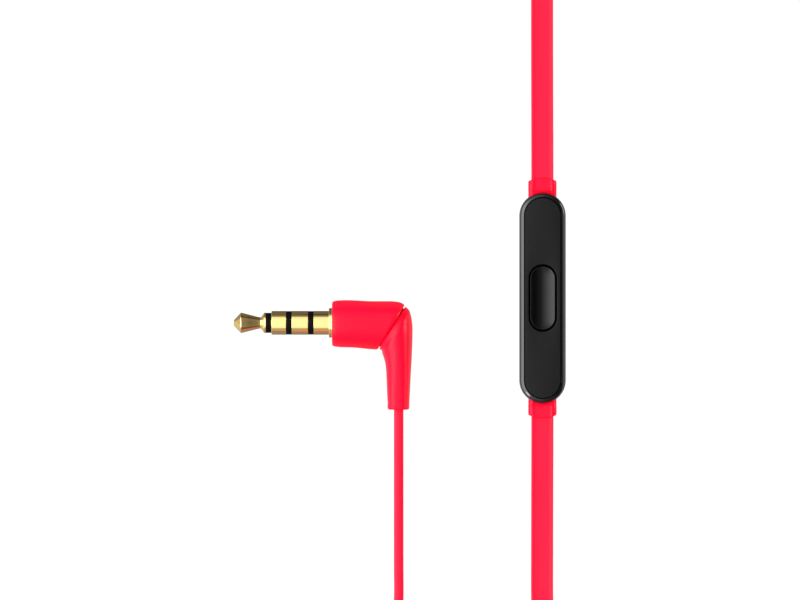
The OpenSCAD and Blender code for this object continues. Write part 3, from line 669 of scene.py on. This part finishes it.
# ---------------------------------------------------------------- splitter
def half_shell(name, k, node):
    outer = box_outline(4.2, 8.0, 1.5, 10)
    rings = []
    for d, w, h, r in ((-6.2, 3.5, 7.3, 1.1), (-6.17, 3.8, 7.6, 1.25), (-6.05, 4.05, 7.85, 1.4), (-5.8, 4.18, 7.98, 1.48), (-5.4, 4.2, 8.0, 1.5), (0, 4.2, 8.0, 1.5), (5.4, 4.2, 8.0, 1.5), (5.8, 4.18, 7.98, 1.48), (6.05, 4.05, 7.85, 1.4), (6.17, 3.8, 7.6, 1.25), (6.2, 3.5, 7.3, 1.1)):
        rings.append([(SX + x, SY + d, 4 + y) for x, y in box_outline(w, h, r, 10)])
    v, f = loft_mesh(rings)
    ob = mesh_object(name, v, f)
    for secs in ([(-5.4, 2.8, 6.6, 0.8), (5.4, 2.8, 6.6, 0.8)], [(4, 2.43, 4.23, 0.6), (8, 2.43, 4.23, 0.6)], [(-8, 2.43, 7.03, 0.6), (-4, 2.43, 7.03, 0.6)]):
        c = section_loft("cutter", secs, lambda x, y, d: (SX + x, SY + d, 4 + y), body=None)
        cut(ob, c)
        drop(c)
    x0, x1 = (SX - 5, SX - 0.03) if k > 0 else (SX + 0.03, SX + 5)
    c = mesh_object("cutter", [(x, y, z) for x in (x0, x1) for y in (SY - 9, SY + 9) for z in (-2, 10)], [(0, 1, 3, 2), (4, 6, 7, 5), (0, 4, 5, 1), (2, 3, 7, 6), (0, 2, 6, 4), (1, 5, 7, 3)], smooth=False, body=None)
    cut(ob, c)
    drop(c)
    dress(ob, "gloss")
    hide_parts(node)
    return ob


sp_l = half_shell("splitter_case_left", -1, "splitter_shell_left")
sp_r = half_shell("splitter_case_right", 1, "splitter_shell_right")
sc_m = section_loft("splitter_cable_collar", [(4.6, 2.65, 4.9, 0.6), (5.3, 2.7, 5.0, 0.6), (5.36, 2.4, 4.2, 0.6), (6.6, 2.4, 4.2, 0.6), (6.78, 2.3, 4.1, 0.6), (6.87, 2.1, 3.9, 0.56), (6.9, 1.75, 3.55, 0.5)], lambda x, y, d: (SX + x, SY + d, 4 + y))
dress(sc_m, "boot")
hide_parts("splitter_collar_main")
sc_e = section_loft("splitter_ear_collar", [(-4.6, 2.65, 6.4, 0.78), (-5.3, 2.7, 6.5, 0.8), (-5.36, 2.4, 7.0, 0.6), (-6.6, 2.4, 7.0, 0.6), (-6.78, 2.3, 6.9, 0.6), (-6.87, 2.1, 6.7, 0.56), (-6.9, 1.75, 6.4, 0.5)], lambda x, y, d: (SX + x, SY + d, 4 + y))
dress(sc_e, "boot")
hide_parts("splitter_collar_ear")

# ---------------------------------------------------------------- earbuds
def bud_matrix(b):
    a = math.radians(b[3])
    return np.array([[1, 0, 0], [0, math.cos(a), -math.sin(a)], [0, math.sin(a), math.cos(a)]])


def bud_part(side, b, name, profile, radius, mat, node, body="body", n=5, steps=128, sharp=40):
    ob = lathe(side + "_" + name, rounded(profile, radius, n), steps, b[:3], bud_matrix(b), body, sharp)
    dress(ob, mat)
    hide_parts(side + "_" + node)
    return ob


def earbud(side, b, tip_body):
    bud_part(side, b, "earbud_cap", [(-5.4, 0), (-5.4, 3.3), (-5.28, 3.45), (-5.28, 3.75), (-5.38, 3.9), (-5.34, 4.6), (-5.0, 5.4), (-4.5, 5.86), (-4.23, 5.93), (-4.23, 5.25), (-3.4, 5.25), (-3.4, 4.6), (-4.3, 4.5), (-4.5, 0)],
             [0, 0.06, 0.06, 0.06, 0.1, 0.3, 0.4, 0.3, 0.05, 0, 0, 0, 0, 0], "satin", "rear_cap")
    rh = bud_part(side, b, "earbud_housing", [(-4.2, 5.3), (-4.2, 5.93), (-4.1, 6.0), (2.1, 6.0), (2.17, 5.95), (2.17, 5.3)], [0, 0.04, 0.06, 0.04, 0.03, 0], "gloss", "rear_housing")
    R = bud_matrix(b)
    vv, ff = loft_mesh([[tuple(R @ np.array((1.72 * math.cos(2 * math.pi * k / 40), y, 1.72 * math.sin(2 * math.pi * k / 40))) + np.array(b[:3])) for k in range(40)] for y in (3.0, 9.0)])
    c = mesh_object("cutter", vv, ff, body=None)
    cut(rh, c)
    drop(c)
    bud_part(side, b, "earbud_front", [(2.2, 5.05), (2.2, 5.96), (2.27, 6.0), (2.9, 5.97), (3.7, 5.68), (4.4, 5.15), (5.0, 4.35), (5.4, 3.5), (5.75, 2.7), (6.1, 2.4), (9.9, 2.4), (10.2, 2.5), (10.7, 2.5), (11.2, 2.3), (11.2, 1.75), (10.7, 1.75), (10.7, 1.5), (5.6, 1.5), (4.9, 2.6), (4.75, 4.2), (4.6, 5.05)],
             [0, 0.03, 0.05, 0.4, 0.5, 0.5, 0.6, 0.5, 0.4, 0.3, 0.1, 0.1, 0.1, 0.1, 0.05, 0, 0, 0, 0, 0, 0], "gloss_red", "front_housing")
    # the tip: a tube over the nozzle, rolled outwards at its mouth into a thin skirt
    inside = catmull([(5.97, 3.28), (7.4, 3.30), (9.0, 3.33), (10.4, 3.42), (11.3, 3.62), (11.72, 3.98), (11.55, 4.32), (10.9, 4.62), (9.6, 4.98), (8.2, 5.26), (6.8, 5.45), (5.78, 5.55)], 4)
    outside = catmull([(5.62, 5.64), (5.60, 5.78), (5.70, 5.91), (6.1, 5.98), (7.2, 5.93), (8.2, 5.80), (9.3, 5.57), (10.4, 5.25), (11.3, 4.92), (12.2, 4.50), (12.9, 4.08), (13.5, 3.60), (13.95, 3.07), (14.22, 2.57), (14.30, 2.25), (14.22, 2.02), (14.05, 1.88), (13.6, 1.81)], 4)
    bud_part(side, b, "silicone_tip", [(5.95, 2.6), (5.95, 3.22)] + inside + outside + [(12.2, 1.8), (11.75, 1.82), (11.5, 2.0), (11.42, 2.3), (11.38, 2.56), (6.0, 2.56)],
             [0] * (2 + len(inside) + len(outside) + 6), "silicone", "ear_tip", body=tip_body)
    secs = [(5.3, 1.62, 1.62, 2.0), (6.02, 1.62, 1.62, 2.0), (6.05, 2.0, 2.0, 2.0), (6.12, 2.09, 2.09, 2.0), (6.9, 2.10, 2.12, 2.05), (7.2, 2.06, 2.12, 2.1)]
    y = 7.2
    for i in range(7):                 # seven grooves ring the relief along its length
        t = (y - 7.2) / 6.0
        w, h, e = 2.06 - 0.86 * t ** 0.8, 2.12 - 0.24 * t, 2.1 + 0.8 * t
        secs += [(y + 0.42, w - 0.02, h - 0.01, e), (y + 0.47, w - 0.06, h - 0.05, e), (y + 0.50, w - 0.2, h - 0.18, e), (y + 0.68, w - 0.21, h - 0.19, e), (y + 0.71, w - 0.08, h - 0.07, e), (y + 0.76, w - 0.05, h - 0.02, e)]
        y += 0.8
    secs += [(13.1, 1.17, 1.88, 2.9), (13.35, 1.12, 1.85, 3.0), (13.46, 1.04, 1.78, 3.0), (13.5, 0.9, 1.66, 3.0)]
    rings = []
    for d, w, h, e in secs:
        rings.append([tuple(R @ np.array((w * spow(math.cos(a), 2 / e), d, h * spow(math.sin(a), 2 / e))) + np.array(b[:3])) for a in [2 * math.pi * k / 64 for k in range(64)]])
    v, f = loft_mesh(rings)
    ob = sharpen(mesh_object(side + "_cable_relief", v, f), 50)
    dress(ob, "boot")
    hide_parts(side + "_strain_relief")
    # woven screen in the nozzle's mouth
    v, f = [], []
    def wire(p0, p1, r=0.028, wave=0.03, ph=0.0, n=14, m=6):
        p0, p1 = np.array(p0, float), np.array(p1, float)
        rings_w = []
        for i in range(n + 1):
            t = i / n
            p = p0 + (p1 - p0) * t
            p = p + np.array([wave * math.cos(math.pi * (np.linalg.norm(p - p0) / 0.24) + ph), 0, 0])
            d = (p1 - p0) / np.linalg.norm(p1 - p0)
            s = np.cross(d, (1, 0, 0))
            rings_w.append([tuple(p + r * (math.cos(2 * math.pi * k / m) * s + math.sin(2 * math.pi * k / m) * np.array((1, 0, 0)))) for k in range(m)])
        wv, wf = loft_mesh(rings_w)
        off = len(v)
        v.extend(wv)
        f.extend([tuple(i + off for i in q) for q in wf])
    for i in range(-6, 7):
        o = i * 0.24
        h = math.sqrt(max(1.62 ** 2 - o * o, 0.01))
        wire((11.0, o, -h), (11.0, o, h), ph=math.pi * i)
        wire((11.0, -h, o), (11.0, h, o), ph=math.pi * (i + 1))
    rim_v, rim_f = [], []
    v = [tuple(bud_matrix(b) @ np.array(p) + np.array(b[:3])) for p in v]
    screen = mesh_object(side + "_nozzle_screen", v, f)
    dress(screen, "steel")
    for part, mat in (("nozzle_mesh", "steel"), ("driver_frame", "steel"), ("driver_yoke", "steel"), ("driver_magnet", "magnet"), ("diaphragm", "film"), ("voice_coil", "copper")):
        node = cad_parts[side + "_" + part]
        node.data.materials.clear()
        node.data.materials.append(M[mat])


earbud("right", BUD_R, "right_tip")
earbud("left", BUD_L, "left_tip")

# ---------------------------------------------------------------- ties round the coils
def strap_point(c, ang, r, z, off):
    a = math.radians(ang)
    return (c[0] + r * math.cos(a) - off * math.sin(a), c[1] + r * math.sin(a) + off * math.cos(a), z)


def tie(name, c, ang, r0, r1, z0, z1):
    w, t = 1.3, 0.23
    loop = rounded([(r0 - t - 0.04, z0 - t), (r1 + t + 0.1, z0 - t), (r1 + t + 0.1, z1 + t), (r0 - t - 0.04, z1 + t)], 0.75, 8)
    sec = [(-w, -t * 0.4), (-w + 0.14, -t), (-0.45, -t), (-0.3, -t * 0.72), (0.3, -t * 0.72), (0.45, -t), (w - 0.14, -t), (w, -t * 0.4), (w, t * 0.4), (w - 0.14, t), (0.45, t), (0.3, t * 0.72), (-0.3, t * 0.72), (-0.45, t), (-w + 0.14, t), (-w, t * 0.4)]
    p = np.array(loop + [loop[0]])
    d = np.r_[0, np.cumsum(np.linalg.norm(np.diff(p, axis=0), axis=1))]
    u = np.linspace(0, d[-1], 141)[:-1]
    q = np.stack([np.interp(u, d, p[:, k]) for k in (0, 1)], 1)
    tan = np.roll(q, -1, 0) - np.roll(q, 1, 0)
    tan /= np.linalg.norm(tan, axis=1)[:, None]
    nor = np.stack([tan[:, 1], -tan[:, 0]], 1)
    rings = [[strap_point(c, ang, a[0] + b[0] * s[1], a[1] + b[1] * s[1], s[0]) for s in sec] for a, b in zip(q, nor)]
    v, f = loft_mesh(rings, closed=True)
    # the strap's free end, lapped over the top
    xs = np.linspace(r0 + 0.8, r1 - 0.3, 16)
    rings = []
    for i, x in enumerate(xs):
        e = min(1.0, (i + 0.35) / 3.0)
        s_w = w * (0.55 + 0.45 * math.sqrt(max(0.0, 1 - (1 - e) ** 2)))
        lift = 0.03 + 0.28 * max(0.0, 1 - i / 6.0) ** 2
        rings.append([strap_point(c, ang, x, z1 + 3 * t + lift + s[1] * 0.9, s[0] * s_w / w) for s in sec])
    v2, f2 = loft_mesh(rings)
    ob = mesh_object(name, v + v2, f + [tuple(i + len(v) for i in g) for g in f2])
    return dress(sharpen(ob, 50), "soft")


tie_a = tie("coil_strap_main", CA, 318, 12.95, 19.5, LIFT, 7.0)
tie_b = tie("coil_strap_ear", CB, 300, 16.35, 21.75, LIFT, 7.05)
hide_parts("cable_ties")

for node, mat in (("plug_inner_block", "ivory"), ("switch_dome", "steel"), ("switch_body", "steel"), ("microphone", "steel"), ("remote_circuit_board", "board"), ("splitter_joint_board", "board"), ("microphone_gasket", "soft")):
    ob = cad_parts[node]
    ob.data.materials.clear()
    ob.data.materials.append(M[mat])

ob, path, long = C_MAIN
ob, path, long = C_LOW
ob, path, long = C_LEFT
ob, path, long = C_UP

# ---------------------------------------------------------------- floor and light
me = bpy.data.meshes.new("floor")
me.from_pydata([(-1.5, -1.5, 0), (1.5, -1.5, 0), (1.5, 1.5, 0), (-1.5, 1.5, 0)], [], [(0, 1, 2, 3)])
floor = bpy.data.objects.new("floor", me)
scene.collection.objects.link(floor)
fm = bpy.data.materials.new("floor_white")
fm.use_nodes = True
fb = fm.node_tree.nodes["Principled BSDF"]
fb.inputs["Base Color"].default_value = (0.04, 0.04, 0.04, 1)
fb.inputs["Emission Color"].default_value = (1, 1, 1, 1)
fb.inputs["Emission Strength"].default_value = 1.0
fb.inputs["Roughness"].default_value = 0.9
fb.inputs["Specular IOR Level"].default_value = 0.05
me.materials.append(fm)
floor.visible_glossy = False      # the parts mirror the studio, not the bare white floor

world = bpy.data.worlds.new("studio")
scene.world = world
world.use_nodes = True
wn, wl = world.node_tree.nodes, world.node_tree.links
bg = wn["Background"]
wtc = wn.new("ShaderNodeTexCoord")
sep = wn.new("ShaderNodeSeparateXYZ")
wl.new(wtc.outputs["Generated"], sep.inputs["Vector"])


def bands(axis, stops):
    """Brightness of the dome along one axis of the direction, -1 to 1."""
    half = wn.new("ShaderNodeMath")
    half.operation = "MULTIPLY_ADD"
    half.inputs[1].default_value, half.inputs[2].default_value = 0.5, 0.5
    wl.new(sep.outputs[axis], half.inputs[0])
    r = wn.new("ShaderNodeValToRGB")
    e = r.color_ramp.elements
    e[0].position, e[1].position = (stops[0][0] + 1) / 2, (stops[-1][0] + 1) / 2
    e[0].color, e[1].color = (stops[0][1],) * 3 + (1,), (stops[-1][1],) * 3 + (1,)
    for p, v in stops[1:-1]:
        e.new((p + 1) / 2).color = (v, v, v, 1)
    wl.new(half.outputs["Value"], r.inputs["Fac"])
    return r.outputs["Color"]


def times(a, b):
    m = wn.new("ShaderNodeMath")
    m.operation = "MULTIPLY"
    wl.new(a, m.inputs[0])
    wl.new(b, m.inputs[1])
    return m.outputs["Value"]


def plus(a, b):
    m = wn.new("ShaderNodeMath")
    m.operation = "ADD"
    wl.new(a, m.inputs[0])
    wl.new(b, m.inputs[1])
    return m.outputs["Value"]


# above: a pale dome that darkens towards the right and low down at the back and front, a wide soft box on the left
# and a low pale wall on the right
dome = times(bands("X", [(-1, 1.3), (-0.2, 1.34), (0.01, 1.34), (0.05, 0.85), (0.14, 0.52), (0.30, 0.36), (0.47, 0.15), (0.55, 0.04), (0.79, 0.04), (0.85, 1.2), (0.91, 2.4), (1, 3.0)]),
             bands("Y", [(-1, 0.35), (-0.84, 0.38), (-0.72, 1.0), (0.6, 1.0), (0.82, 0.85), (0.92, 0.16), (1, 0.16)]))
box = times(bands("X", [(-1, 0.0), (-0.95, 1.8), (-0.88, 3.9), (-0.67, 4.6), (-0.48, 3.1), (-0.33, 1.95), (-0.175, 0.85), (-0.02, 0.05), (0.05, 0.0), (1, 0.0)]),
            bands("Y", [(-1, 0.0), (-0.60, 0.0), (-0.34, 1.0), (0.4, 1.0), (0.58, 0.5), (0.75, 0.0), (1, 0.0)]))
# below: what the sides of glossy parts mirror, dim in the middle and a little paler to the left and right
low = times(bands("X", [(-1, 0.7), (-0.35, 0.5), (-0.14, 0.26), (0.14, 0.26), (0.4, 0.25), (0.7, 0.7), (1, 0.8)]),
            bands("Y", [(-1, 1.2), (0.22, 1.0), (0.45, 0.5), (1, 0.6)]))
level = plus(times(plus(dome, box), bands("Z", [(-1, 0.0), (0.02, 0.0), (0.07, 1.0), (1, 1.0)])),
             times(low, bands("Z", [(-1, 1.0), (-0.04, 1.0), (0.0, 0.25), (0.05, 0.1), (0.1, 0.0), (1, 0.0)])))
wl.new(level, bg.inputs["Strength"])
bg.inputs["Color"].default_value = (1.0, 1.0, 1.0, 1)


def area(name, loc, size, power, look=(0, 0, 0), sy=None):
    d = bpy.data.lights.new(name, "AREA")
    d.shape = "RECTANGLE"
    d.size, d.size_y = size, sy or size
    d.energy = power
    o = bpy.data.objects.new(name, d)
    scene.collection.objects.link(o)
    o.location = loc
    o.rotation_euler = (Vector(look) - Vector(loc)).to_track_quat("-Z", "Y").to_euler()
    return o


area("key_front_left", (-0.46, -0.46, 0.47), 0.17, 1.09)
area("soft_right", (0.55, 0.22, 0.14), 0.30, 2.0, look=(-0.01, 0, 0.003))
